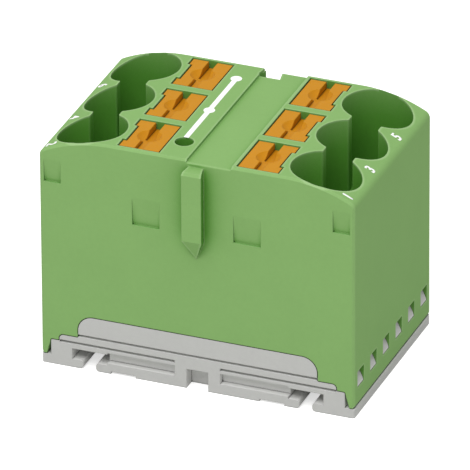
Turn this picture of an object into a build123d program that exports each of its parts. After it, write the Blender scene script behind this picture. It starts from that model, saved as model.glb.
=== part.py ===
from build123d import *
from math import acos, degrees
import os

# Six-way push-in power distribution block: moulded housing, snap-in base, and a button,
# clamp cage and leaf spring for each of its six conductors, all fed by one current bar.
# X runs along the block, Y from the ribbed face to the grooved one, Z up from the underside.
# All sizes are in millimetres.

os.makedirs("parts", exist_ok=True)

# Rows of clamps, with the numbers of those on the +X and on the -X side
right_numbers = (1, 3, 5)
left_numbers = (2, 4, 6)
pitch = 10.2

# Housing, outside
block_length = 47.7
total_height = 36.6
crown_flat = 13.5
crown_radius = 21.5
end_rounding = 1.2
edge_chamfer = 0.3

# Shallow band across the top
band_left = -1.45
band_width = 6.75
band_recess = 0.42
band_rounding = 0.2

# Housing, walls
end_wall = 1.32
face_wall = 0.8
row_wall = 1.6
cell_start = 5.6
roof_thickness = 2.5

# Conductor funnels, and the slot that joins them
funnel_place = 17.7
funnel_length = 10.2
funnel_width = 9.7
funnel_depth = 11.6
funnel_slot = 4.4
cusp_rounding = 0.3
cone_depth = 1.6
cone_radius = 4.6
conductor_hole_radius = 2.6

# Test hole in the first row
test_hole_place = -3.75
test_hole_radius = 1.37

# Joining rib, and the groove in the opposite face for the next block's rib
rib_front_width = 3.0
rib_root_width = 2.2
rib_depth = 1.95
rib_drop = 0.95
rib_slope = 0.2
rib_chamfer = 0.4
rib_length = 14.6
rib_taper = 3.6
groove_clearance = 0.15
groove_extra_length = 0.6

# Shallow recesses in both long faces, deepest at their lower edge
recess_depth = 0.4
high_recess_start = 20.6
high_recess_width = 2.57
high_recess_bottom = 29.2
high_recess_height = 3.55
low_recess_start = 5.6
low_recess_width = 4.15
low_recess_bottom = 24.7
low_recess_height = 4.3

# Latch windows in both end walls, two to a row
window_width = 2.5
window_height = 2.55
window_bottom = 4.35

# Push-buttons
button_place = 9.0
button_width = 6.1
button_length = 8.4
button_recess = 0.1
button_gap = 0.18
button_travel = 2.4
button_chamfer = 0.06
stop_clearance = 0.1
relief_depth = 0.5
relief_length = 4.7
blade_slot_width = 1.35
blade_slot_front_depth = 0.6
blade_slot_back_depth = 1.05
dimple_radius = 1.8
dimple_depth = 0.85
stem_offset = 0.8
stem_width = 3.6
stem_length = 6.4
stem_rounding = 0.8
barb_overhang = 0.6
barb_height = 1.5

# Base, seen from the front: a foot, a strip on it and a tab that fills the housing's arch
plate_thickness = 1.45
plate_rounding = 0.4
seat_gap = 0.12
base_gap = 0.12
foot_height = 3.9
strip_height = 1.0
strip_inset = 1.3
strip_rounding = 0.6
tab_height = 8.45
tab_inset = 2.9
tab_wall = 1.3
tab_rounding = 2.3
corner_rounding = 0.2
hollow_headroom = 0.75
leg_chamfer_width = 0.57
leg_chamfer_height = 2.0
leg_bevel = 0.3

# Base, grooves and pockets in its long faces
step_groove_rise = 0.15
step_groove_height = 0.4
step_groove_depth = 0.9
long_groove_rise = -0.2
long_groove_height = 0.42
long_groove_depth = 0.9
middle_post_half = 3.46
pocket_bottom = 1.6
pocket_height = 1.65
pocket_depth = 1.0
middle_notch_width = 3.3
middle_notch_height = 3.06
middle_notch_depth = 1.95

# Base, channels along its underside
tee_place = 16.5
tee_head_width = 5.35
tee_neck_width = 1.95
tee_lip = 1.28
tee_height = 3.0
tee_rounding = 0.4
tee_mouth_rounding = 0.5
heel_start = 9.45
heel_width = 3.8
heel_height = 0.35

# Base, latches and supports
latch_wall = 1.1
latch_wall_height = 3.5
latch_gap = 0.1
latch_recess = 0.05
latch_height = 2.3
latch_bulge = 0.25
support_width = 3.6
support_length = 4.4
spine_support_width = 2.6

# Current bar
bar_height = 11.8
bar_thickness = 1.2
bar_arm_width = 5.6
bar_spine_width = 10.0
bar_upturn = 7.5
bar_bend_radius = 0.8

# Clamp cages
metal_gap = 0.05
cage_end_gap = 0.1
cage_wall = 0.7
cage_length = 8.0
cage_width = 8.2
cage_sill = 1.35
cage_height = 11.0
cage_window_width = 6.1
cage_window_height = 6.4
cage_rounding = 0.9

# Clamp springs
spring_thickness = 0.5
spring_width = 5.0
spring_foot_gap = 0.2
spring_bend_place = 9.2
spring_bend_radius = 1.7
spring_shoulder = 13.4
spring_shoulder_radius = 1.5
spring_tip_drop = 2.2
spring_tip_gap = 0.3

# Places and heights that follow from the sizes above
row_count = len(right_numbers)
rows = [(number - (row_count - 1) / 2) * pitch for number in range(row_count)]
block_depth = row_count * pitch
half_length = block_length / 2
half_depth = block_depth / 2
cell_end = half_length - end_wall
cell_half_width = (pitch - row_wall) / 2
hollow_half_depth = half_depth - face_wall
seat_height = plate_thickness + seat_gap
hollow_top = tab_height + hollow_headroom
bar_top = bar_height + bar_thickness
cage_bottom = bar_height - metal_gap - cage_sill
cage_top = cage_bottom + cage_height
cell_roof = cage_top + metal_gap
shaft_floor = cell_roof + roof_thickness
funnel_floor = total_height - funnel_depth
band_height = total_height - band_recess
rib_top = total_height - rib_drop
spring_top = bar_top + 2 * spring_bend_radius + spring_thickness
stem_bottom = spring_top + stop_clearance
head_bottom = shaft_floor + button_travel + stop_clearance
button_top = total_height - button_recess
dimple_curve = (dimple_radius**2 + dimple_depth**2) / (2 * dimple_depth)
foot_half_length = cell_end - base_gap
strip_top = foot_height + strip_height
strip_half_length = foot_half_length - strip_inset
tab_half_length = strip_half_length - tab_inset
cage_outer = cell_end - cage_end_gap
cage_inner = cage_outer - cage_length
cage_place = (cage_outer + cage_inner) / 2
bar_end = cage_outer - cage_wall - metal_gap
beyond = 1.0


def block_between(low, high, mode=Mode.ADD):
    """A rectangular block or cut between its lowest and its highest corner."""
    with Locations([tuple((a + b) / 2 for a, b in zip(low, high))]):
        Box(*(b - a for a, b in zip(low, high)), mode=mode)


def on_side(side, near, far):
    """Lowest and highest X of the stretch from near to far, on the +X or the -X side."""
    return min(side * near, side * far), max(side * near, side * far)


def crown_outline():
    """Front outline of the housing: upright ends under a flat top that falls in two arcs."""
    sweep = 90 - degrees(acos((half_length - crown_flat) / crown_radius))
    arc_height = total_height - crown_radius
    with BuildSketch() as crown:
        with BuildLine():
            right = CenterArc((crown_flat, arc_height), crown_radius, 90, -sweep)
            left = CenterArc((-crown_flat, arc_height), crown_radius, 90, sweep)
            Line(right @ 0, left @ 0)
            Line(right @ 1, (half_length, seat_height))
            Line((half_length, seat_height), (-half_length, seat_height))
            Line((-half_length, seat_height), left @ 1)
        make_face()
        ends = crown.vertices().group_by(Axis.X)
        fillet([ends[0].sort_by(Axis.Y)[-1], ends[-1].sort_by(Axis.Y)[-1]], end_rounding)
    return crown.sketch


def base_outline(gap):
    """Front outline of the base, grown by a gap where the housing is cut out around it."""
    with BuildSketch() as outline:
        with BuildLine():
            FilletPolyline(
                (0, tab_height + gap),
                (tab_half_length + gap, tab_height + gap),
                (tab_half_length + gap, strip_top + gap),
                (strip_half_length + gap, strip_top + gap),
                (strip_half_length + gap, foot_height + gap),
                (foot_half_length + gap, foot_height + gap),
                (foot_half_length + gap, 0),
                radius=[
                    tab_rounding + gap,
                    corner_rounding - gap,
                    strip_rounding + gap,
                    corner_rounding - gap,
                    corner_rounding + gap,
                ],
            )
            Line((foot_half_length + gap, 0), (0, 0))
            Line((0, 0), (0, tab_height + gap))
        make_face()
        mirror(about=Plane.YZ)
    return outline.sketch


def button_outline(side, row, gap):
    """Plan of a push-button, waisted beside its funnel, grown by a gap for its shaft."""
    with Locations([(side * button_place, row)]):
        Rectangle(button_width + 2 * gap, button_length + 2 * gap)
    relief_place = button_place + button_width / 2 + gap - relief_depth / 2
    with Locations([(side * relief_place, row)]):
        Rectangle(relief_depth, relief_length - 2 * gap, mode=Mode.SUBTRACT)


def funnel_outline(side):
    """Plan of three oval funnels joined by a straight slot, with rounded cusps between them."""
    with BuildSketch() as funnels:
        with Locations([(side * funnel_place, row) for row in rows]):
            SlotOverall(funnel_length, funnel_width)
        with Locations([(side * funnel_place, 0)]):
            Rectangle(funnel_slot, rows[-1] - rows[0])
        cusps = [
            corner
            for corner in funnels.vertices()
            if abs(abs(corner.X - side * funnel_place) - funnel_slot / 2) < 0.001
        ]
        fillet(cusps, cusp_rounding)
    return funnels.sketch


def dovetail(face_place, direction, mouth, floor, depth):
    """Plan of a dovetail that is as wide as mouth at the face and as floor at its depth."""
    with BuildSketch() as plan:
        with BuildLine():
            Polyline(
                (-mouth / 2, face_place),
                (mouth / 2, face_place),
                (floor / 2, face_place + direction * depth),
                (-floor / 2, face_place + direction * depth),
                close=True,
            )
        make_face()
    return plan.sketch


# Housing: solid crown first, then its chamfered edges, then every hollow
with BuildPart() as housing:
    with BuildSketch(Plane.XZ):
        add(crown_outline())
    extrude(amount=half_depth, both=True)
    long_faces = housing.faces().filter_by(Plane.XZ)
    rims = long_faces.edges().filter_by(lambda rim: rim.center().Z > seat_height + 0.001)
    chamfer(rims, edge_chamfer)

    # Band across the top
    block_between(
        (band_left, -half_depth - beyond, band_height),
        (band_left + band_width, half_depth + beyond, total_height + beyond),
        Mode.SUBTRACT,
    )
    band_rims = (
        housing.edges()
        .filter_by(Axis.X)
        .filter_by_position(Axis.Z, band_height - 0.001, band_height + 0.001)
    )
    fillet(band_rims, band_rounding)

    # Joining rib, chamfered at its top and drawn to a point below
    with BuildSketch(Plane.XY.offset(rib_top - rib_length)):
        add(dovetail(-half_depth, -1, rib_root_width, rib_front_width, rib_depth))
    extrude(amount=rib_length)
    rib_face = -half_depth - rib_depth
    rib_foot = rib_top - rib_length
    with BuildSketch(Plane.YZ):
        with BuildLine():
            Polyline(
                (-half_depth, rib_top),
                (rib_face + rib_chamfer, rib_top - rib_slope),
                (rib_face, rib_top - rib_slope - rib_chamfer),
                (rib_face - beyond, rib_top - rib_slope - rib_chamfer),
                (rib_face - beyond, rib_top + beyond),
                (-half_depth, rib_top + beyond),
                close=True,
            )
        make_face()
        with BuildLine():
            Polyline(
                (-half_depth, rib_foot),
                (rib_face, rib_foot + rib_taper),
                (rib_face - beyond, rib_foot + rib_taper),
                (rib_face - beyond, rib_foot - beyond),
                (-half_depth, rib_foot - beyond),
                close=True,
            )
        make_face()
    extrude(amount=rib_front_width, both=True, mode=Mode.SUBTRACT)
    with BuildSketch(Plane.XZ.offset(half_depth)):
        for side in (-1, 1):
            with BuildLine():
                Polyline(
                    (0, rib_foot),
                    (side * rib_front_width / 2, rib_foot + rib_taper),
                    (side * rib_front_width, rib_foot + rib_taper),
                    (side * rib_front_width, rib_foot - beyond),
                    (0, rib_foot - beyond),
                    close=True,
                )
            make_face()
    extrude(amount=rib_depth + beyond, mode=Mode.SUBTRACT)

    # Groove for the next block's rib
    groove_bottom = rib_foot - groove_extra_length
    with BuildSketch(Plane.XY.offset(groove_bottom)):
        add(
            dovetail(
                half_depth,
                -1,
                rib_root_width + 2 * groove_clearance,
                rib_front_width + 2 * groove_clearance,
                rib_depth + groove_clearance,
            )
        )
    extrude(amount=total_height - groove_bottom + beyond, mode=Mode.SUBTRACT)

    # Openings in the top: funnels, button shafts and the test hole
    for side in (-1, 1):
        with BuildSketch(Plane.XY.offset(funnel_floor)):
            add(funnel_outline(side))
        extrude(amount=funnel_depth + beyond, mode=Mode.SUBTRACT)
        with Locations([(side * funnel_place, row, funnel_floor - cone_depth / 2) for row in rows]):
            Cone(conductor_hole_radius, cone_radius, cone_depth, mode=Mode.SUBTRACT)
        with BuildSketch(Plane.XY.offset(cell_roof - beyond)):
            with Locations([(side * funnel_place, row) for row in rows]):
                Circle(conductor_hole_radius)
        extrude(amount=funnel_floor - cell_roof + beyond, mode=Mode.SUBTRACT)
        for row in rows:
            with BuildSketch(Plane.XY.offset(shaft_floor)):
                button_outline(side, row, button_gap)
            extrude(amount=total_height - shaft_floor + beyond, mode=Mode.SUBTRACT)
            with BuildSketch(Plane.XY.offset(cell_roof - beyond)):
                with Locations([(side * (button_place + stem_offset), row)]):
                    Rectangle(stem_width + 2 * button_gap, stem_length + 2 * button_gap)
            extrude(amount=roof_thickness + 2 * beyond, mode=Mode.SUBTRACT)
    with BuildSketch(Plane.XY.offset(bar_top)):
        with Locations([(test_hole_place, rows[0])]):
            Circle(test_hole_radius)
    extrude(amount=total_height - bar_top + beyond, mode=Mode.SUBTRACT)

    # Wedge-shaped recesses in the long faces
    for start, width, bottom, height in (
        (high_recess_start, high_recess_width, high_recess_bottom, high_recess_height),
        (low_recess_start, low_recess_width, low_recess_bottom, low_recess_height),
    ):
        for side in (-1, 1):
            west, east = on_side(side, start, start + width)
            with BuildSketch(Plane.YZ.offset(west)):
                for face in (-1, 1):
                    with BuildLine():
                        Polyline(
                            (face * (half_depth - recess_depth), bottom),
                            (face * half_depth, bottom + height),
                            (face * (half_depth + beyond), bottom + height),
                            (face * (half_depth + beyond), bottom),
                            close=True,
                        )
                    make_face()
            extrude(amount=east - west, mode=Mode.SUBTRACT)

    # Hollow that the base closes, the bar's channel, and one cell for each clamp
    block_between(
        (-cell_end, -hollow_half_depth, seat_height - beyond),
        (cell_end, hollow_half_depth, hollow_top),
        Mode.SUBTRACT,
    )
    channel_half = rows[-1] + cell_half_width
    block_between(
        (-cell_start - metal_gap, -channel_half, hollow_top - beyond),
        (cell_start + metal_gap, channel_half, bar_top + metal_gap),
        Mode.SUBTRACT,
    )
    for side in (-1, 1):
        west, east = on_side(side, cell_start, cell_end)
        for row in rows:
            block_between(
                (west, row - cell_half_width, hollow_top - beyond),
                (east, row + cell_half_width, cell_roof),
                Mode.SUBTRACT,
            )

    # Arched cut-outs that the base fills, chamfered legs and latch windows
    with BuildSketch(Plane.XZ):
        add(base_outline(base_gap))
        for side in (-1, 1):
            with BuildLine():
                Polyline(
                    (side * cell_end, seat_height),
                    (side * (cell_end + leg_chamfer_width), seat_height),
                    (side * cell_end, seat_height + leg_chamfer_height),
                    close=True,
                )
            make_face()
            with BuildLine():
                Polyline(
                    (side * (half_length - leg_bevel), seat_height),
                    (side * half_length, seat_height + leg_bevel),
                    (side * (half_length + beyond), seat_height + leg_bevel),
                    (side * (half_length + beyond), seat_height),
                    close=True,
                )
            make_face()
    extrude(amount=half_depth + beyond, both=True, mode=Mode.SUBTRACT)
    for side in (-1, 1):
        west, east = on_side(side, cell_end - beyond, half_length + beyond)
        for row in rows:
            for window_place in (row - pitch / 4, row + pitch / 4):
                block_between(
                    (west, window_place - window_width / 2, window_bottom),
                    (east, window_place + window_width / 2, window_bottom + window_height),
                    Mode.SUBTRACT,
                )
housing.part.label = "housing"
export_step(housing.part, "parts/housing.step")


# Base: stepped outline over the whole depth, hollowed to a tray, with a plate under it
with BuildPart() as base:
    with BuildSketch(Plane.XZ):
        add(base_outline(0))
    extrude(amount=half_depth, both=True)
    block_between(
        (-foot_half_length - beyond, tab_wall - half_depth, foot_height),
        (foot_half_length + beyond, half_depth - tab_wall, tab_height + beyond),
        Mode.SUBTRACT,
    )
    with BuildSketch():
        RectangleRounded(block_length, block_depth, plate_rounding)
    extrude(amount=plate_thickness)

    # T-channels, and shallow channels between them, all along the underside
    with BuildSketch(Plane.XZ) as channels:
        for side in (-1, 1):
            with Locations([(side * tee_place, (tee_height + tee_lip) / 2)]):
                Rectangle(tee_head_width, tee_height - tee_lip)
            with Locations([(side * tee_place, tee_lip / 2)]):
                Rectangle(tee_neck_width, tee_lip)
            with Locations([(side * (heel_start + heel_width / 2), heel_height / 2)]):
                Rectangle(heel_width, heel_height)
        lips = [
            corner
            for corner in channels.vertices()
            if abs(abs(abs(corner.X) - tee_place) - tee_neck_width / 2) < 0.001
        ]
        fillet([lip for lip in lips if lip.Y > heel_height], tee_rounding)
    extrude(amount=half_depth + beyond, both=True, mode=Mode.SUBTRACT)
    mouths = [
        edge
        for edge in base.edges().filter_by(Axis.Y).group_by(Axis.Z)[0]
        if abs(abs(abs(edge.center().X) - tee_place) - tee_neck_width / 2) < 0.001
    ]
    fillet(mouths, tee_mouth_rounding)

    # Grooves, pockets and the middle notch of both long faces
    for face in (-1, 1):
        for depth, near, far, bottom, height in (
            (step_groove_depth, 0, tab_half_length, strip_top + step_groove_rise, step_groove_height),
            (
                long_groove_depth,
                middle_post_half,
                strip_half_length,
                foot_height + long_groove_rise,
                long_groove_height,
            ),
            (
                pocket_depth,
                middle_post_half,
                tee_place - tee_head_width / 2,
                pocket_bottom,
                pocket_height,
            ),
            (middle_notch_depth, 0, middle_notch_width / 2, -beyond, middle_notch_height + beyond),
        ):
            south, north = on_side(face, half_depth - depth, half_depth + beyond)
            for side in (-1, 1):
                west, east = on_side(side, near, far)
                block_between((west, south, bottom), (east, north, bottom + height), Mode.SUBTRACT)

    # Latch walls inside the housing's ends, with a rounded latch for each window
    latch_bottom = window_bottom + latch_gap
    latch_top = latch_bottom + latch_height
    latch_root = foot_half_length - latch_wall / 2
    latch_front = half_length - latch_recess
    latch_middle = (latch_front + foot_half_length) / 2 + latch_bulge
    for side in (-1, 1):
        west, east = on_side(side, foot_half_length - latch_wall, foot_half_length)
        wall_end = hollow_half_depth - latch_gap
        block_between(
            (west, -wall_end, foot_height), (east, wall_end, foot_height + latch_wall_height)
        )
        for row in rows:
            for latch_place in (row - pitch / 4, row + pitch / 4):
                with BuildSketch(Plane.XZ.offset(-latch_place)):
                    with BuildLine():
                        ThreePointArc(
                            (side * latch_front, latch_bottom),
                            (side * latch_middle, (latch_bottom + latch_top) / 2),
                            (side * foot_half_length, latch_top),
                        )
                        Polyline(
                            (side * foot_half_length, latch_top),
                            (side * latch_root, latch_top),
                            (side * latch_root, latch_bottom),
                            (side * latch_front, latch_bottom),
                        )
                    make_face()
                extrude(amount=window_width / 2 - latch_gap, both=True)

    # Supports that hold the current bar against the housing
    for side in (-1, 1):
        with BuildSketch(Plane.XY.offset(foot_height)):
            with Locations([(side * cage_place, row) for row in rows]):
                Rectangle(support_width, support_length)
        extrude(amount=bar_height - foot_height)
    with BuildSketch(Plane.XY.offset(foot_height)):
        Rectangle(spine_support_width, rows[-1] - rows[0] + support_length)
    extrude(amount=bar_height - foot_height)
base.part.label = "base"
export_step(base.part, "parts/base.step")


# Current bar: one spine across the rows, with an arm to each clamp that turns up at its end
with BuildPart() as current_bar:
    for row in rows:
        with BuildSketch(Plane.XZ.offset(-row)) as arm:
            with BuildLine():
                Polyline(
                    (-bar_end, bar_height),
                    (bar_end, bar_height),
                    (bar_end, bar_top + bar_upturn),
                    (bar_end - bar_thickness, bar_top + bar_upturn),
                    (bar_end - bar_thickness, bar_top),
                    (-bar_end + bar_thickness, bar_top),
                    (-bar_end + bar_thickness, bar_top + bar_upturn),
                    (-bar_end, bar_top + bar_upturn),
                    close=True,
                )
            make_face()
            fillet(arm.vertices().group_by(Axis.Y)[0], bar_bend_radius + bar_thickness)
            inner_corners = [
                corner
                for corner in arm.vertices()
                if abs(corner.Y - bar_top) < 0.001 and abs(corner.X) < bar_end - 0.001
            ]
            fillet(inner_corners, bar_bend_radius)
        extrude(amount=bar_arm_width / 2, both=True)
    with BuildSketch(Plane.XY.offset(bar_height)):
        Rectangle(bar_spine_width, rows[-1] - rows[0] + bar_arm_width)
    extrude(amount=bar_thickness)
current_bar.part.label = "current_bar"
export_step(current_bar.part, "parts/current_bar.step")


def clamp_cage(side, row):
    """Upright frame of bent sheet, with a window for the bar's arm and the spring's leg."""
    with BuildPart() as cage:
        with BuildSketch(Plane.XY.offset(cage_bottom)):
            with Locations([(side * cage_place, row)]):
                RectangleRounded(cage_length, cage_width, cage_rounding)
                Rectangle(
                    cage_length - 2 * cage_wall,
                    cage_width - 2 * cage_wall,
                    mode=Mode.SUBTRACT,
                )
        extrude(amount=cage_height)
        west, east = on_side(side, cage_inner - beyond, cage_place)
        block_between(
            (west, row - cage_window_width / 2, cage_bottom + cage_sill),
            (east, row + cage_window_width / 2, cage_bottom + cage_sill + cage_window_height),
            Mode.SUBTRACT,
        )
    return cage.part


def clamp_spring(side, row):
    """Leaf spring: foot on the bar, round bend, and a leg that bears on the bar's upturned end."""
    foot_line = bar_top + spring_thickness / 2
    leg_line = foot_line + 2 * spring_bend_radius
    tip_place = bar_end - bar_thickness - spring_tip_gap
    with BuildPart() as spring:
        with BuildSketch(Plane.XZ.offset(-row)):
            with BuildLine():
                Line(
                    (side * (cage_inner - spring_foot_gap), foot_line),
                    (side * spring_bend_place, foot_line),
                )
                ThreePointArc(
                    (side * spring_bend_place, foot_line),
                    (side * (spring_bend_place - spring_bend_radius), foot_line + spring_bend_radius),
                    (side * spring_bend_place, leg_line),
                )
                FilletPolyline(
                    (side * spring_bend_place, leg_line),
                    (side * spring_shoulder, leg_line),
                    (side * tip_place, leg_line - spring_tip_drop),
                    radius=spring_shoulder_radius,
                )
            trace(line_width=spring_thickness)
        extrude(amount=spring_width / 2, both=True)
    return spring.part


def push_button(side, row):
    """Button with a stepped blade slot, a round dimple, a notched edge and a barbed stem."""
    place = side * button_place
    stem_place = side * (button_place + stem_offset)
    with BuildPart() as button:
        with BuildSketch(Plane.XY.offset(head_bottom)):
            button_outline(side, row, 0)
        extrude(amount=button_top - head_bottom)
        chamfer(button.faces().sort_by(Axis.Z)[-1].edges(), button_chamfer)
        for front, back, depth in (
            (row - button_length, row, blade_slot_front_depth),
            (row, row + button_length, blade_slot_back_depth),
        ):
            block_between(
                (place - blade_slot_width / 2, front, button_top - depth),
                (place + blade_slot_width / 2, back, button_top + beyond),
                Mode.SUBTRACT,
            )
        with Locations([(place, row, button_top - dimple_depth + dimple_curve)]):
            Sphere(dimple_curve, mode=Mode.SUBTRACT)

        # Stem that presses the spring, barbed where it passes under the cell's roof
        with BuildSketch(Plane.XZ.offset(-row)) as stem:
            with Locations([(stem_place, (stem_bottom + head_bottom) / 2)]):
                Rectangle(stem_width, head_bottom - stem_bottom)
            fillet(stem.vertices().group_by(Axis.Y)[0], stem_rounding)
        extrude(amount=stem_length / 2, both=True)
        barb_top = cell_roof - stop_clearance
        with BuildSketch(Plane.YZ.offset(stem_place)):
            with BuildLine():
                Polyline(
                    (row - stem_length / 2 - barb_overhang, barb_top),
                    (row + stem_length / 2 + barb_overhang, barb_top),
                    (row + stem_length / 2, barb_top - barb_height),
                    (row - stem_length / 2, barb_top - barb_height),
                    close=True,
                )
            make_face()
        extrude(amount=stem_width / 2, both=True)
    return button.part


# One cage, spring and button for each conductor
for side, numbers in ((1, right_numbers), (-1, left_numbers)):
    for row, number in zip(rows, numbers):
        for name, make in (
            ("clamp_cage", clamp_cage),
            ("clamp_spring", clamp_spring),
            ("push_button", push_button),
        ):
            piece = make(side, row)
            piece.label = f"{name}_{number}"
            export_step(piece, f"parts/{name}_{number}.step")
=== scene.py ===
"""Looks of a six-way push-in power distribution block: finishes, printed marking and stage.

Lengths are in metres unless a name ends in _mm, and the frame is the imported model's own.
"""
import math

import bpy
from mathutils import Euler, Matrix, Vector


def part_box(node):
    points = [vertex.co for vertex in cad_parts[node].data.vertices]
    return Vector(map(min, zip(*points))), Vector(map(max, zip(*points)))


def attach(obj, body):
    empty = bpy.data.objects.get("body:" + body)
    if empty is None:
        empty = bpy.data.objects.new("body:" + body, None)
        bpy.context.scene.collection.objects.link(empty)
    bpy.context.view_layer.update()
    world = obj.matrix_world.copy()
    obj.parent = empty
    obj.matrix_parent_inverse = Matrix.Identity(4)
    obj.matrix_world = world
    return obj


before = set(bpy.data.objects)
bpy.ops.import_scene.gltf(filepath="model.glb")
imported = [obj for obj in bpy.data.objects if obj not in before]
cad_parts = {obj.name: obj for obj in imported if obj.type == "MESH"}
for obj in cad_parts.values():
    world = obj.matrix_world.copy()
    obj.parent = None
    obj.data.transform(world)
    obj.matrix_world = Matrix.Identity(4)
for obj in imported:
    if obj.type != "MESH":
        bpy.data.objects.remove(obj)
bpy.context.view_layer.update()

bl_info = {
    "name": "Power distribution block",
    "version": (1, 0, 0),
    "blender": (4, 5, 0),
    "location": "3D View > Sidebar > Block",
    "description": "Finishes, prints and lights a push-in power distribution block",
    "category": "Object",
}

MM = 0.001

# Heights taken from the frame
HOUSING_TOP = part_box("housing")[1].z
BUTTON_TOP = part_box("push_button_1")[1].z

# Numbers of the clamps on each side, from the front to the back
RIGHT_NUMBERS = (1, 3, 5)
LEFT_NUMBERS = (2, 4, 6)

# Nearly all values of a noise texture lie between these
NOISE_LOW = 0.3
NOISE_HIGH = 0.7

# Polyamide: size and strength of its patches, speckles and changes of gloss
POLYAMIDE_IOR = 1.53
MELT_PATCH = 7 * MM
MELT_CONTRAST = 0.035
SPECKLE_SIZE = 0.6 * MM
SPECKLE_CONTRAST = 0.015
GLOSS_CONTRAST = 0.03

# Shares of the space round a point that are open, between which the painted shade of a moulding
# changes
HOLLOW_SHUT, HOLLOW_OPEN = 0.45, 0.95
RIM_SHUT, RIM_OPEN = 0.86, 0.99
# The same for the solid under a point, which runs out towards an edge, where the painted highlight
# comes in
EDGE_THIN, EDGE_SOLID = 0.55, 0.96
# Shares of its colour that the painted shade leaves a moulding deep in a joint and at the very
# edge of a flat top
JOINT_DARKEST = 0.04
RIM_DARKEST = 0.1
# Points this little below a flat top still belong to it
RIM_DEPTH = 0.05 * MM
# A facet is on a long face when more of its normal than this lies along Y
LONG_FACE_NORMAL = 0.97
# Channels raised to this power give the paler and less pure colour of the painted edge highlight
HIGHLIGHT_POWER = 0.6
OCCLUSION_SAMPLES = 8
BEVEL_SAMPLES = 6

# Rolled strip: contrast of the plating, and depth and gloss of the rolling lines
PLATING_DARK, PLATING_LIGHT = 0.88, 1.06
ROLLED_CONTRAST = 0.06
ROLLED_DEPTH = 0.004 * MM

# Printed marking: its ink, and how finely its dots and numbers are shaped. The weight is the
# extra width of a number's strokes, in the units of the text, and the start is the height over
# the block from which a number is laid on it.
INK_NAME = "white_pad_print_ink"
INK_PATCH = 0.4 * MM
INK_THIN = 0.93
DOT_SIDES = 48
NUMERAL_CURVE_STEPS = 6
NUMERAL_WEIGHT = 0.03
NUMERAL_CUTS = 2
NUMERAL_START = 2 * MM

# Stage: light that the floor gives to some rays alone, and what the camera takes in
FLOOR_WIDTH = 6
CAMERA_LIFT = 0.6
MIRRORED_LIFT = 0.12
SENSOR_WIDTH_MM = 36
NEAREST_SEEN = 0.1
FARTHEST_SEEN = 20


def hex_to_linear(code):
    """An sRGB colour written as hex, turned to linear red, green and blue."""
    shares = [int(code[place : place + 2], 16) / 255 for place in (1, 3, 5)]
    return [s / 12.92 if s <= 0.04045 else ((s + 0.055) / 1.055) ** 2.4 for s in shares]


def colour_setting(name, description, code):
    """A colour that a user can change, with its default written as sRGB hex."""
    return bpy.props.FloatVectorProperty(
        name=name,
        description=description,
        subtype="COLOR",
        size=3,
        min=0,
        max=1,
        default=hex_to_linear(code),
    )


def length_setting(name, description, millimetres):
    """A length that a user can change, with its default written in millimetres."""
    return bpy.props.FloatProperty(
        name=name,
        description=description,
        subtype="DISTANCE",
        unit="LENGTH",
        precision=5,
        default=millimetres * MM,
    )


def place_setting(name, description, place):
    """A place that a user can change."""
    return bpy.props.FloatVectorProperty(
        name=name,
        description=description,
        subtype="TRANSLATION",
        unit="LENGTH",
        size=3,
        default=place,
    )


def angle_setting(name, description, degrees):
    """An angle that a user can change, with its default written in degrees."""
    return bpy.props.FloatProperty(
        name=name,
        description=description,
        subtype="ANGLE",
        default=math.radians(degrees),
    )


def power_setting(name, description, watts):
    """The power of a light, which a user can change."""
    return bpy.props.FloatProperty(
        name=name,
        description=description,
        subtype="POWER",
        unit="POWER",
        default=watts,
    )


class BlockFinishes(bpy.types.PropertyGroup):
    """Colours and surface grain of the block's materials, and how far their painted shade and
    highlight reach.
    """

    housing_colour: colour_setting("Housing", "Green of the moulded housing", "#84AC69")
    base_colour: colour_setting("Base", "Grey of the moulded base", "#BCBCBA")
    button_colour: colour_setting("Buttons", "Orange of the push-buttons", "#C28414")
    ink_colour: colour_setting("Marking", "White of the printed marking", "#FFFFFF")
    tin_colour: colour_setting("Current bar", "Tin plating of the current bar", "#CFCBC2")
    cage_colour: colour_setting("Clamp cages", "Zinc-plated sheet of the cages", "#A9ACAE")
    spring_colour: colour_setting("Clamp springs", "Bare strip of the leaf springs", "#9B9890")
    grain: length_setting("Mould grain", "Spacing of the eroded mould's pits", 0.28)
    edge_break: length_setting("Edge break", "Radius that the mould leaves on an edge", 0.16)
    # Reach of the painted shade in joints
    joint_reach: length_setting("Joint reach", "How near two walls stand to shade a joint", 0.3)
    # Reach of the painted edge highlight
    edge_reach: length_setting("Edge reach", "How far an edge looks paler than the faces", 0.38)
    # Reach of the painted shade in hollows
    hollow_reach: length_setting("Hollow reach", "How wide a hollow still changes the shade", 12)


class MarkingSizes(bpy.types.PropertyGroup):
    """Sizes and places of the white marking printed on the housing."""

    ink_thickness: length_setting("Ink thickness", "How far the print stands proud", 0.03)
    line_place: length_setting("Line place", "X of the line beside the band", -3.97)
    line_width: length_setting("Line width", "Width of the line", 0.75)
    line_start: length_setting("Line start", "Y of its end at the test hole", -8.95)
    line_end: length_setting("Line end", "Y of the dot at its far end", 10.5)
    dot_diameter: length_setting("Dot diameter", "Diameter of both dots", 1.65)
    numeral_height: length_setting("Numeral height", "Height of each number", 1.5)
    numeral_place: length_setting("Numeral place", "X of the numbers, either side", 22.4)
    first_numeral: length_setting("First number", "Y of the front pair", -14.1)
    next_numerals: length_setting("Next numbers", "Y of the cusps, either side", 5.3)


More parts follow.
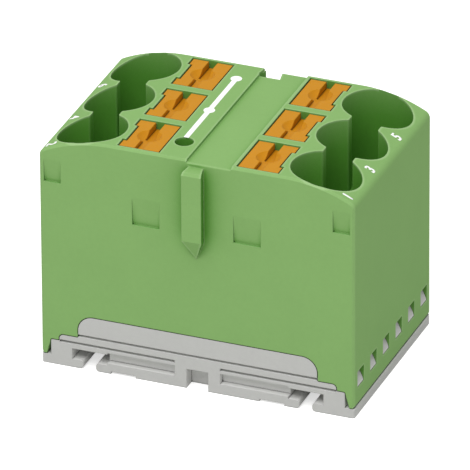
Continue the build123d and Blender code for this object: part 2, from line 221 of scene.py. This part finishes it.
class StageSettings(bpy.types.PropertyGroup):
    """Camera, floor and lights around the block."""

    camera_place: place_setting(
        "Camera place", "Where the camera stands", (0.48398, -1.22849, 0.71786)
    )
    camera_azimuth: angle_setting(
        "Camera azimuth", "Turn of the camera from the front towards the right", 21.509
    )
    camera_elevation: angle_setting("Camera elevation", "How far the camera looks down", 27.948)
    camera_roll: angle_setting("Camera roll", "Small lean of the picture", 0.307)
    lens_mm: bpy.props.FloatProperty(
        name="Lens",
        description="Focal length in millimetres on a sensor 36 mm wide",
        default=803.155,
    )
    sky_strength: bpy.props.FloatProperty(
        name="Sky strength",
        description="Strength of the even light all round",
        default=0.61,
    )
    key_place: place_setting(
        "Key light's place", "In front of the block and above it", (0.0, -0.313, 0.553)
    )
    key_width: length_setting("Key light's width", "Wider makes softer shadows", 400)
    key_strength: power_setting("Key light", "Power of the soft light in front", 2.34)
    top_place: place_setting(
        "Top light's place", "Over the block and a little behind it", (0.0, 0.1, 0.6)
    )
    top_width: length_setting("Top light's width", "Wider makes softer shadows", 500)
    top_strength: power_setting("Top light", "Power of the soft light overhead", 0.35)
    floor_colour: colour_setting("Floor", "Pale floor that the block stands on", "#E0E0DE")


def add_node(tree, kind, inputs=None, **settings):
    """One node with its settings; an input takes either a value or another node's output."""
    node = tree.nodes.new(kind)
    for name, value in settings.items():
        setattr(node, name, value)
    for name, value in (inputs or {}).items():
        if isinstance(value, bpy.types.NodeSocket):
            tree.links.new(value, node.inputs[name])
        else:
            node.inputs[name].default_value = value
    return node


def empty_material(name):
    """A material whose node tree holds nothing yet."""
    material = bpy.data.materials.new(name)
    material.use_nodes = True
    material.node_tree.nodes.clear()
    return material


def per_metre(spacing):
    """Noise scale that repeats at this spacing."""
    return 1 / spacing


def rgba(colour, share=1.0):
    """A linear colour as four numbers, darkened or lightened by a share."""
    return (*(min(1.0, channel * share) for channel in colour), 1.0)


def mottled(tree, place, colour, patch, detail, dark, light):
    """A colour in soft patches of this size, between a darker and a lighter share of it."""
    noise = add_node(
        tree,
        "ShaderNodeTexNoise",
        {"Vector": place, "Scale": per_metre(patch), "Detail": detail},
    )
    shade = add_node(
        tree,
        "ShaderNodeMix",
        {"Factor": noise.outputs["Fac"], "A": rgba(colour, dark), "B": rgba(colour, light)},
        data_type="RGBA",
    )
    return shade.outputs["Result"]


def wavering(tree, noise, mean, swing):
    """A value that wavers round its mean as a noise does."""
    wave = add_node(
        tree,
        "ShaderNodeMapRange",
        {
            "Value": noise,
            "From Min": NOISE_LOW,
            "From Max": NOISE_HIGH,
            "To Min": mean - swing,
            "To Max": mean + swing,
        },
    )
    return wave.outputs["Result"]


def joint_shade(tree, nearby, joint_shade_start, joint_shade_end):
    """Share of the colour left in a joint between mouldings: painted shade, darker where walls
    stand close and the light hardly enters."""
    depth = add_node(
        tree,
        "ShaderNodeMapRange",
        {
            "Value": nearby,
            "From Min": joint_shade_start,
            "From Max": joint_shade_end,
            "To Min": JOINT_DARKEST,
        },
    )
    return depth.outputs["Result"]


def rim_shade(tree, place, nearby, flat_top):
    """Painted shade on the rim of a flat top, standing for a gap beside it that is wider and
    darker
    than the one built: the share of the colour left there, and all of it below the top."""
    height = add_node(tree, "ShaderNodeSeparateXYZ", {"Vector": place})
    below_top = add_node(
        tree,
        "ShaderNodeMath",
        {0: height.outputs["Z"], 1: flat_top - RIM_DEPTH},
        operation="LESS_THAN",
    )
    rim = add_node(
        tree,
        "ShaderNodeMapRange",
        {"Value": nearby, "From Min": RIM_SHUT, "From Max": RIM_OPEN, "To Min": RIM_DARKEST},
    )
    shade = add_node(
        tree,
        "ShaderNodeMath",
        {0: rim.outputs["Result"], 1: below_top.outputs["Value"]},
        operation="MAXIMUM",
    )
    return shade.outputs["Value"]


def toned_hollows(tree, nearby, colour, shade, hollow_shade_share, hollow_shade_purity):
    """The shade of the faces, with painted shade and light mixed over it in the hollows for light
    that goes from wall to wall before it comes back: deeper in a strong colour, and paler where
    the walls pass light on."""
    reach = bpy.context.scene.block_finishes.hollow_reach
    hollows = add_node(
        tree,
        "ShaderNodeAmbientOcclusion",
        {"Distance": reach},
        samples=OCCLUSION_SAMPLES,
        only_local=True,
    )
    # A low step shuts out as much near light as far light, so it is no hollow
    shelter = add_node(
        tree,
        "ShaderNodeMath",
        {0: hollows.outputs["AO"], 1: nearby},
        operation="DIVIDE",
    )
    openness = add_node(
        tree,
        "ShaderNodeMapRange",
        {"Value": shelter.outputs["Value"], "From Min": HOLLOW_SHUT, "From Max": HOLLOW_OPEN},
    )
    strongest = max(colour)
    hollow_shade_colour = [
        channel * hollow_shade_share * (channel / strongest) ** hollow_shade_purity for channel in colour
    ]
    hollow_shaded = add_node(
        tree,
        "ShaderNodeMix",
        {"Factor": openness.outputs["Result"], "A": rgba(hollow_shade_colour), "B": shade},
        data_type="RGBA",
    )
    return hollow_shaded.outputs["Result"]


def pale_edges(tree, colour, shade, highlight_strength):
    """Painted highlight on edges: a paler, less pure colour where an edge would catch the light.
    The long faces have none of it, because their wall behind a funnel is thinner than the reach."""
    reach = bpy.context.scene.block_finishes.edge_reach
    inward = add_node(
        tree,
        "ShaderNodeAmbientOcclusion",
        {"Distance": reach},
        samples=OCCLUSION_SAMPLES,
        inside=True,
        only_local=True,
    )
    near_edge = add_node(
        tree,
        "ShaderNodeMapRange",
        {
            "Value": inward.outputs["AO"],
            "From Min": EDGE_THIN,
            "From Max": EDGE_SOLID,
            "To Min": highlight_strength,
            "To Max": 0.0,
        },
    )
    geometry = add_node(tree, "ShaderNodeNewGeometry")
    facing = add_node(tree, "ShaderNodeSeparateXYZ", {"Vector": geometry.outputs["True Normal"]})
    sideways = add_node(tree, "ShaderNodeMath", {0: facing.outputs["Y"]}, operation="ABSOLUTE")
    off_long_face = add_node(
        tree,
        "ShaderNodeMath",
        {0: sideways.outputs["Value"], 1: LONG_FACE_NORMAL},
        operation="LESS_THAN",
    )
    highlight_share = add_node(
        tree,
        "ShaderNodeMath",
        {0: near_edge.outputs["Result"], 1: off_long_face.outputs["Value"]},
        operation="MULTIPLY",
    )
    highlight_colour = [channel**HIGHLIGHT_POWER for channel in colour]
    highlighted = add_node(
        tree,
        "ShaderNodeMix",
        {"Factor": highlight_share.outputs["Value"], "A": shade, "B": rgba(highlight_colour)},
        data_type="RGBA",
    )
    return highlighted.outputs["Result"]


def eroded_surface(tree, place, grain_depth):
    """Broken edges and the pits of the eroded mould, drawn twice as coarse as the real ones so
    that they show."""
    finishes = bpy.context.scene.block_finishes
    pits = add_node(
        tree,
        "ShaderNodeTexNoise",
        {"Vector": place, "Scale": per_metre(finishes.grain), "Detail": 2.0, "Roughness": 0.55},
    )
    edges = add_node(
        tree,
        "ShaderNodeBevel",
        {"Radius": finishes.edge_break},
        samples=BEVEL_SAMPLES,
    )
    surface = add_node(
        tree,
        "ShaderNodeBump",
        {
            "Strength": 1.0,
            "Distance": grain_depth,
            "Height": pits.outputs["Fac"],
            "Normal": edges.outputs["Normal"],
        },
    )
    return surface.outputs["Normal"]


def moulded_polyamide(
    name,
    colour,
    roughness,
    gloss_level,
    grain_depth,
    highlight_strength,
    joint_shade_start,
    joint_shade_end,
    hollow_shade_share,
    hollow_shade_purity,
    flat_top=None,
):
    """Injection-moulded polyamide from a spark-eroded mould: matt, with fine pits, slow changes
    of shade where the melt flowed, and edges broken by the mould so that they catch the light.
    Painted shade darkens its joints and hollows, and a painted highlight pales its edges."""
    material = empty_material(name)
    tree = material.node_tree
    place = add_node(tree, "ShaderNodeTexCoord").outputs["Object"]
    speckle = add_node(
        tree,
        "ShaderNodeTexNoise",
        {"Vector": place, "Scale": per_metre(SPECKLE_SIZE), "Detail": 3.0, "Roughness": 0.6},
    ).outputs["Fac"]
    nearby = add_node(
        tree,
        "ShaderNodeAmbientOcclusion",
        {"Distance": bpy.context.scene.block_finishes.joint_reach},
        samples=OCCLUSION_SAMPLES,
    ).outputs["AO"]

    melt = mottled(
        tree,
        place,
        colour,
        patch=MELT_PATCH,
        detail=2.0,
        dark=1 - MELT_CONTRAST,
        light=1 + MELT_CONTRAST,
    )
    # Painted shade and light in the hollows
    hollow_shaded = toned_hollows(tree, nearby, colour, melt, hollow_shade_share, hollow_shade_purity)
    # Painted highlight on the edges
    highlighted = pale_edges(tree, colour, hollow_shaded, highlight_strength)

    # Painted shade in the joints and on the rim of a flat top, which scales the colour with the
    # speckles
    light_left = joint_shade(tree, nearby, joint_shade_start, joint_shade_end)
    if flat_top is not None:
        light_left = add_node(
            tree,
            "ShaderNodeMath",
            {0: light_left, 1: rim_shade(tree, place, nearby, flat_top)},
            operation="MINIMUM",
        ).outputs["Value"]
    cover = add_node(
        tree,
        "ShaderNodeMath",
        {0: wavering(tree, speckle, mean=1.0, swing=SPECKLE_CONTRAST), 1: light_left},
        operation="MULTIPLY",
    )
    body_colour = add_node(
        tree,
        "ShaderNodeVectorMath",
        {0: highlighted, "Scale": cover.outputs["Value"]},
        operation="SCALE",
    )
    plastic = add_node(
        tree,
        "ShaderNodeBsdfPrincipled",
        {
            "Base Color": body_colour.outputs["Vector"],
            "Roughness": wavering(tree, speckle, mean=roughness, swing=GLOSS_CONTRAST),
            "IOR": POLYAMIDE_IOR,
            "Specular IOR Level": gloss_level,
            "Normal": eroded_surface(tree, place, grain_depth),
        },
    )
    add_node(tree, "ShaderNodeOutputMaterial", {"Surface": plastic.outputs["BSDF"]})
    return material


def green_housing_polyamide():
    """Green polyamide of the housing: soft matt with hardly any gloss, and painted shade that
    deepens the green in the funnels."""
    return moulded_polyamide(
        "green_moulded_polyamide",
        bpy.context.scene.block_finishes.housing_colour,
        roughness=0.55,
        gloss_level=0.02,
        grain_depth=0.006 * MM,
        highlight_strength=0.5,
        joint_shade_start=0.25,
        joint_shade_end=0.5,
        hollow_shade_share=0.68,
        hollow_shade_purity=0.95,
    )


def grey_base_polyamide():
    """Light grey polyamide of the base: as matt as the housing, with a little more gloss over it
    and painted light that keeps its pockets pale."""
    return moulded_polyamide(
        "grey_moulded_polyamide",
        bpy.context.scene.block_finishes.base_colour,
        roughness=0.55,
        gloss_level=0.25,
        grain_depth=0.007 * MM,
        highlight_strength=0.6,
        joint_shade_start=0.38,
        joint_shade_end=0.72,
        hollow_shade_share=1.3,
        hollow_shade_purity=0.0,
    )


def orange_button_polyamide():
    """Orange polyamide of the buttons: a little smoother, where fingers and tools rub, with a
    painted shade round the rim of their tops.
    """
    return moulded_polyamide(
        "orange_moulded_polyamide",
        bpy.context.scene.block_finishes.button_colour,
        roughness=0.5,
        gloss_level=0.1,
        grain_depth=0.005 * MM,
        highlight_strength=0.0,
        joint_shade_start=0.4,
        joint_shade_end=0.9,
        hollow_shade_share=0.95,
        hollow_shade_purity=0.1,
        flat_top=BUTTON_TOP,
    )


def rolled_metal(name, colour, roughness, line_spacing, patch, stretch):
    """Rolled strip: fine lines along the rolling direction, drawn several times as coarse as the
    real ones so that they show, with a shade that varies in patches and a gloss with the lines."""
    material = empty_material(name)
    tree = material.node_tree
    place = add_node(tree, "ShaderNodeTexCoord").outputs["Object"]
    along = add_node(tree, "ShaderNodeMapping", {"Vector": place, "Scale": stretch})
    lines = add_node(
        tree,
        "ShaderNodeTexNoise",
        {"Vector": along.outputs["Vector"], "Scale": per_metre(line_spacing), "Detail": 2.0},
    ).outputs["Fac"]
    surface = add_node(
        tree,
        "ShaderNodeBump",
        {"Strength": 1.0, "Distance": ROLLED_DEPTH, "Height": lines},
    )
    plating = mottled(
        tree,
        place,
        colour,
        patch=patch,
        detail=3.0,
        dark=PLATING_DARK,
        light=PLATING_LIGHT,
    )
    metal = add_node(
        tree,
        "ShaderNodeBsdfPrincipled",
        {
            "Base Color": plating,
            "Metallic": 1.0,
            "Roughness": wavering(tree, lines, mean=roughness, swing=ROLLED_CONTRAST),
            "Normal": surface.outputs["Normal"],
        },
    )
    add_node(tree, "ShaderNodeOutputMaterial", {"Surface": metal.outputs["BSDF"]})
    return material


def tin_plated_copper():
    """Matt tin over stamped copper strip: pale, soft-edged reflections."""
    return rolled_metal(
        "tin_plated_copper",
        bpy.context.scene.block_finishes.tin_colour,
        roughness=0.36,
        line_spacing=0.3 * MM,
        patch=2 * MM,
        stretch=(1, 0.12, 1),
    )


def zinc_plated_sheet():
    """Zinc-plated steel sheet of the cages: cool grey with faint upright rolling lines."""
    return rolled_metal(
        "zinc_plated_sheet",
        bpy.context.scene.block_finishes.cage_colour,
        roughness=0.34,
        line_spacing=0.25 * MM,
        patch=1.5 * MM,
        stretch=(1, 1, 0.1),
    )


def spring_strip():
    """Hardened spring strip: bright, with rolling lines along the leaf."""
    return rolled_metal(
        "spring_steel_strip",
        bpy.context.scene.block_finishes.spring_colour,
        roughness=0.26,
        line_spacing=0.2 * MM,
        patch=3 * MM,
        stretch=(0.1, 1, 0.1),
    )


def printed_ink():
    """Pad-printed white ink: flat and chalky, a touch thinner here and there."""
    colour = bpy.context.scene.block_finishes.ink_colour
    material = empty_material(INK_NAME)
    tree = material.node_tree
    place = add_node(tree, "ShaderNodeTexCoord").outputs["Object"]
    cover = mottled(tree, place, colour, patch=INK_PATCH, detail=3.0, dark=INK_THIN, light=1.0)
    ink = add_node(
        tree,
        "ShaderNodeBsdfPrincipled",
        {"Base Color": cover, "Roughness": 0.6, "IOR": 1.5},
    )
    add_node(tree, "ShaderNodeOutputMaterial", {"Surface": ink.outputs["BSDF"]})
    return material


def cover_with(material, piece):
    """Gives a piece this material alone."""
    piece.data.materials.clear()
    piece.data.materials.append(material)


def dress(prefix, material):
    """Gives a material to every node whose name starts with the prefix."""
    nodes = [node for name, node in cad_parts.items() if name.startswith(prefix)]
    if not nodes:
        raise RuntimeError(f"the frame has no node that starts with {prefix}")
    for node in nodes:
        cover_with(material, node)


def deselect_all():
    """Nothing selected, so that the next operator acts on its own piece alone."""
    bpy.ops.object.select_all(action="DESELECT")


def pick(piece):
    """Selects one piece and makes it the active one."""
    deselect_all()
    piece.select_set(True)
    bpy.context.view_layer.objects.active = piece


def settle(piece):
    """Puts a piece's place into its mesh, with its object at the origin."""
    pick(piece)
    bpy.ops.object.transform_apply(location=True, rotation=True, scale=True)


def apply_modifiers(piece):
    """Applies every modifier of a piece in order."""
    pick(piece)
    for modifier in list(piece.modifiers):
        bpy.ops.object.modifier_apply(modifier=modifier.name)


class BLOCK_OT_finish_housing(bpy.types.Operator):
    """Gives the housing its green moulded surface"""

    bl_idname = "block.finish_housing"
    bl_label = "Finish housing"

    def execute(self, context):
        dress("housing", green_housing_polyamide())
        return {"FINISHED"}


class BLOCK_OT_finish_base(bpy.types.Operator):
    """Gives the base its grey moulded surface"""

    bl_idname = "block.finish_base"
    bl_label = "Finish base"

    def execute(self, context):
        dress("base", grey_base_polyamide())
        return {"FINISHED"}


class BLOCK_OT_finish_buttons(bpy.types.Operator):
    """Gives the six push-buttons their orange moulded surface"""

    bl_idname = "block.finish_buttons"
    bl_label = "Finish push-buttons"

    def execute(self, context):
        dress("push_button", orange_button_polyamide())
        return {"FINISHED"}


class BLOCK_OT_finish_metalwork(bpy.types.Operator):
    """Gives the current bar, the clamp cages and the springs their metals"""

    bl_idname = "block.finish_metalwork"
    bl_label = "Finish metalwork"

    def execute(self, context):
        dress("current_bar", tin_plated_copper())
        dress("clamp_cage", zinc_plated_sheet())
        dress("clamp_spring", spring_strip())
        return {"FINISHED"}


class BLOCK_OT_print_line(bpy.types.Operator):
    """Prints the white line and its two dots beside the band"""

    bl_idname = "block.print_line"
    bl_label = "Print line"

    def execute(self, context):
        sizes = context.scene.marking_sizes
        middle = HOUSING_TOP + sizes.ink_thickness / 2
        length = sizes.line_end - sizes.line_start
        deselect_all()
        bpy.ops.mesh.primitive_cube_add(
            size=1,
            location=(sizes.line_place, sizes.line_start + length / 2, middle),
            scale=(sizes.line_width, length, sizes.ink_thickness),
        )
        line = context.object
        line.name = "printed_line"
        settle(line)
        # One dot beside the middle row, and one at the far end
        for place_y in (0.0, sizes.line_end):
            deselect_all()
            bpy.ops.mesh.primitive_cylinder_add(
                vertices=DOT_SIDES,
                radius=sizes.dot_diameter / 2,
                depth=sizes.ink_thickness,
                location=(sizes.line_place, place_y, middle),
            )
            dot = context.object
            settle(dot)
            fuse = line.modifiers.new("dot", "BOOLEAN")
            fuse.operation = "UNION"
            fuse.solver = "EXACT"
            fuse.object = dot
            apply_modifiers(line)
            bpy.data.objects.remove(dot)
        cover_with(printed_ink(), line)
        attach(line, "block")
        return {"FINISHED"}


def flat_numeral(number, height):
    """A number as a flat mesh of this height, centred on the origin and cut finely enough to
    follow the crown."""
    deselect_all()
    bpy.ops.object.text_add()
    text = bpy.context.object
    text.data.body = str(number)
    text.data.align_x = "CENTER"
    text.data.align_y = "CENTER"
    text.data.resolution_u = NUMERAL_CURVE_STEPS
    text.data.offset = NUMERAL_WEIGHT
    bpy.ops.object.convert(target="MESH")
    numeral = bpy.context.object
    numeral.name = f"printed_number_{number}"
    low = Vector(map(min, *(v.co for v in numeral.data.vertices)))
    high = Vector(map(max, *(v.co for v in numeral.data.vertices)))
    size = height / (high.y - low.y)
    numeral.data.transform(Matrix.Scale(size, 4) @ Matrix.Translation(-(low + high) / 2))
    bpy.ops.object.mode_set(mode="EDIT")
    bpy.ops.mesh.select_all(action="SELECT")
    bpy.ops.mesh.quads_convert_to_tris()
    bpy.ops.mesh.subdivide(number_cuts=NUMERAL_CUTS)
    bpy.ops.object.mode_set(mode="OBJECT")
    return numeral


def print_numeral(number, side, place_y):
    """One number on the sloping end: read from that end, laid on the crown and given thickness."""
    sizes = bpy.context.scene.marking_sizes
    numeral = flat_numeral(number, sizes.numeral_height)
    above = (side * sizes.numeral_place, place_y, HOUSING_TOP + NUMERAL_START)
    turn = Matrix.Rotation(side * math.pi / 2, 4, "Z")
    numeral.matrix_world = Matrix.Translation(above) @ turn
    settle(numeral)
    lay = numeral.modifiers.new("lay on the crown", "SHRINKWRAP")
    lay.wrap_method = "PROJECT"
    lay.use_project_z = True
    lay.use_negative_direction = True
    lay.use_positive_direction = False
    lay.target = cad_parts["housing"]
    # A little clear of the crown, so that no facet of it comes through the number
    lay.offset = sizes.ink_thickness / 4
    thicken = numeral.modifiers.new("ink", "SOLIDIFY")
    thicken.thickness = sizes.ink_thickness
    thicken.offset = 1
    apply_modifiers(numeral)
    return numeral


class BLOCK_OT_print_numbers(bpy.types.Operator):
    """Prints a plain number beside each conductor funnel, 1 to 6"""

    bl_idname = "block.print_numbers"
    bl_label = "Print numbers"

    def execute(self, context):
        sizes = context.scene.marking_sizes
        ink = bpy.data.materials[INK_NAME]
        places = (sizes.first_numeral, -sizes.next_numerals, sizes.next_numerals)
        for side, numbers in ((1, RIGHT_NUMBERS), (-1, LEFT_NUMBERS)):
            for number, place_y in zip(numbers, places):
                numeral = print_numeral(number, side, place_y)
                cover_with(ink, numeral)
                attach(numeral, "block")
        return {"FINISHED"}


def floor_material(colour):
    """Matt pale floor: lifted to white for the camera and a little in reflections, without light
    from it on the block, and with the block's shadow kept."""
    material = empty_material("pale_matt_floor")
    tree = material.node_tree
    rays = add_node(tree, "ShaderNodeLightPath")
    mirrored = add_node(
        tree,
        "ShaderNodeMath",
        {0: rays.outputs["Is Glossy Ray"], 1: rays.outputs["Is Transmission Ray"]},
        operation="MAXIMUM",
    )
    mirrored_lift = add_node(
        tree,
        "ShaderNodeMath",
        {0: mirrored.outputs["Value"], 1: MIRRORED_LIFT},
        operation="MULTIPLY",
    )
    lift = add_node(
        tree,
        "ShaderNodeMath",
        {0: rays.outputs["Is Camera Ray"], 1: CAMERA_LIFT, 2: mirrored_lift.outputs["Value"]},
        operation="MULTIPLY_ADD",
    )
    paint = add_node(tree, "ShaderNodeBsdfDiffuse", {"Color": rgba(colour)})
    glow = add_node(
        tree,
        "ShaderNodeEmission",
        {"Color": (1, 1, 1, 1), "Strength": lift.outputs["Value"]},
    )
    both = add_node(
        tree,
        "ShaderNodeAddShader",
        {0: paint.outputs["BSDF"], 1: glow.outputs["Emission"]},
    )
    add_node(tree, "ShaderNodeOutputMaterial", {"Surface": both.outputs["Shader"]})
    return material


def light_sky(strength):
    """Even light all round, with a white that only the camera, gloss and glass see."""
    world = bpy.data.worlds.new("studio")
    bpy.context.scene.world = world
    world.use_nodes = True
    tree = world.node_tree
    tree.nodes.clear()
    rays = add_node(tree, "ShaderNodeLightPath")
    even = add_node(tree, "ShaderNodeBackground", {"Color": (1, 1, 1, 1), "Strength": strength})
    white = add_node(tree, "ShaderNodeBackground", {"Color": (1, 1, 1, 1), "Strength": 1.0})
    seen = add_node(
        tree,
        "ShaderNodeMath",
        {0: rays.outputs["Is Camera Ray"], 1: rays.outputs["Is Glossy Ray"]},
        operation="MAXIMUM",
    )
    shown = add_node(
        tree,
        "ShaderNodeMath",
        {0: seen.outputs["Value"], 1: rays.outputs["Is Transmission Ray"]},
        operation="MAXIMUM",
    )
    sky = add_node(
        tree,
        "ShaderNodeMixShader",
        {0: shown.outputs["Value"], 1: even.outputs["Background"], 2: white.outputs["Background"]},
    )
    add_node(tree, "ShaderNodeOutputWorld", {"Surface": sky.outputs["Shader"]})


def soft_light(name, place, width, power):
    """A square soft light that faces the block."""
    data = bpy.data.lights.new(name, "AREA")
    data.shape = "SQUARE"
    data.size = width
    data.energy = power
    light = bpy.data.objects.new(name, data)
    bpy.context.scene.collection.objects.link(light)
    light.location = place
    block_middle = Vector((0, 0, HOUSING_TOP / 2))
    light.rotation_euler = (block_middle - Vector(place)).to_track_quat("-Z", "Y").to_euler()


def set_camera(settings):
    """The camera of the picture, aimed by its angles."""
    data = bpy.data.cameras.new("camera")
    data.sensor_width = SENSOR_WIDTH_MM
    data.lens = settings.lens_mm
    data.clip_start = NEAREST_SEEN
    data.clip_end = FARTHEST_SEEN
    camera = bpy.data.objects.new("camera", data)
    bpy.context.scene.collection.objects.link(camera)
    camera.location = settings.camera_place
    tilt = math.pi / 2 - settings.camera_elevation
    aim = Euler((tilt, 0, settings.camera_azimuth)).to_matrix()
    camera.rotation_euler = (aim @ Matrix.Rotation(-settings.camera_roll, 3, "Z")).to_euler()
    bpy.context.scene.camera = camera


class BLOCK_OT_set_stage(bpy.types.Operator):
    """Sets the floor, the soft lights and the camera"""

    bl_idname = "block.set_stage"
    bl_label = "Set stage"

    def execute(self, context):
        stage = context.scene.stage_settings
        deselect_all()
        bpy.ops.mesh.primitive_plane_add(size=FLOOR_WIDTH, location=(0, 0, 0))
        floor = context.object
        floor.name = "floor"
        cover_with(floor_material(stage.floor_colour), floor)
        light_sky(stage.sky_strength)
        soft_light("key_light", stage.key_place, stage.key_width, stage.key_strength)
        soft_light("top_light", stage.top_place, stage.top_width, stage.top_strength)
        set_camera(stage)
        context.scene.view_settings.view_transform = "Standard"
        return {"FINISHED"}


class BLOCK_PT_sidebar(bpy.types.Panel):
    """Steps that dress the block, in order"""

    bl_idname = "BLOCK_PT_sidebar"
    bl_label = "Power distribution block"
    bl_space_type = "VIEW_3D"
    bl_region_type = "UI"
    bl_category = "Block"

    def draw(self, context):
        for step in STEPS:
            self.layout.operator(step.bl_idname)
        for group in SETTINGS:
            settings = getattr(context.scene, group)
            box = self.layout.box()
            for name in settings.__annotations__:
                box.prop(settings, name)


STEPS = (
    BLOCK_OT_finish_housing,
    BLOCK_OT_finish_base,
    BLOCK_OT_finish_buttons,
    BLOCK_OT_finish_metalwork,
    BLOCK_OT_print_line,
    BLOCK_OT_print_numbers,
    BLOCK_OT_set_stage,
)
SETTINGS = {
    "block_finishes": BlockFinishes,
    "marking_sizes": MarkingSizes,
    "stage_settings": StageSettings,
}


def register():
    for name, group in SETTINGS.items():
        bpy.utils.register_class(group)
        setattr(bpy.types.Scene, name, bpy.props.PointerProperty(type=group))
    for step in STEPS:
        bpy.utils.register_class(step)
    bpy.utils.register_class(BLOCK_PT_sidebar)


def unregister():
    bpy.utils.unregister_class(BLOCK_PT_sidebar)
    for step in reversed(STEPS):
        bpy.utils.unregister_class(step)
    for name, group in reversed(SETTINGS.items()):
        delattr(bpy.types.Scene, name)
        bpy.utils.unregister_class(group)


def main():
    register()
    bpy.ops.block.finish_housing()
    bpy.ops.block.finish_base()
    bpy.ops.block.finish_buttons()
    bpy.ops.block.finish_metalwork()
    bpy.ops.block.print_line()
    bpy.ops.block.print_numbers()
    bpy.ops.block.set_stage()


if __name__ == "__main__":
    main()
